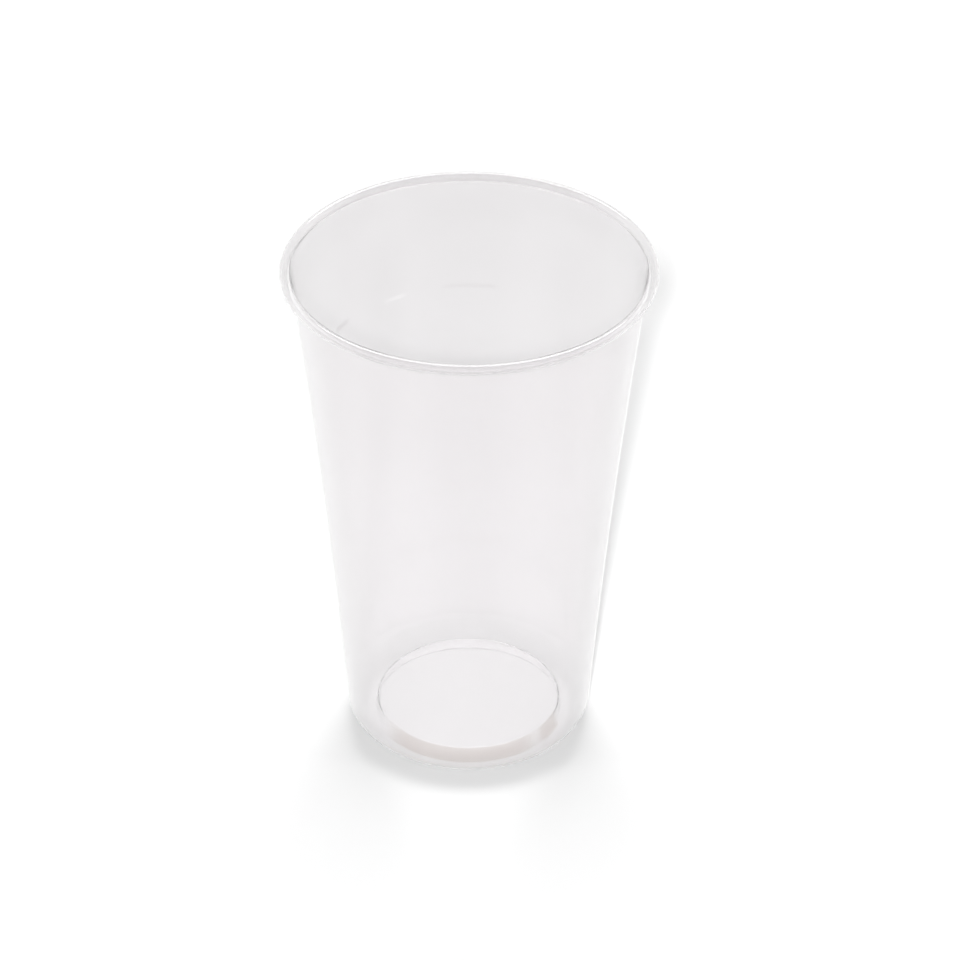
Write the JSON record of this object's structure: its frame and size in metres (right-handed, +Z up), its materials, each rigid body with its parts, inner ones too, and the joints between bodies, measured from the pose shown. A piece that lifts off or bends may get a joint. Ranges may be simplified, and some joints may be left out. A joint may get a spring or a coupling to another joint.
{
  "type": "clear plastic disposable cup",
  "caption": "Clear tapered disposable drinking cup with a rolled lip, rounded heel and raised floor, formed in one piece.",
  "frame": {"origin": "middle of the foot, on the plane that the cup stands on", "axes": "+Z up along the cup's axis towards the mouth; the cup is round, so X and Y are any two directions across it"},
  "size_m": [0.095, 0.095, 0.1385],
  "materials": {
    "clear_plastic": "clear thin sheet, smooth and glossy, with a faint milky grey tone"
  },
  "bodies": {
    "root": {"cup": "clear_plastic"}
  },
  "joints": []
}
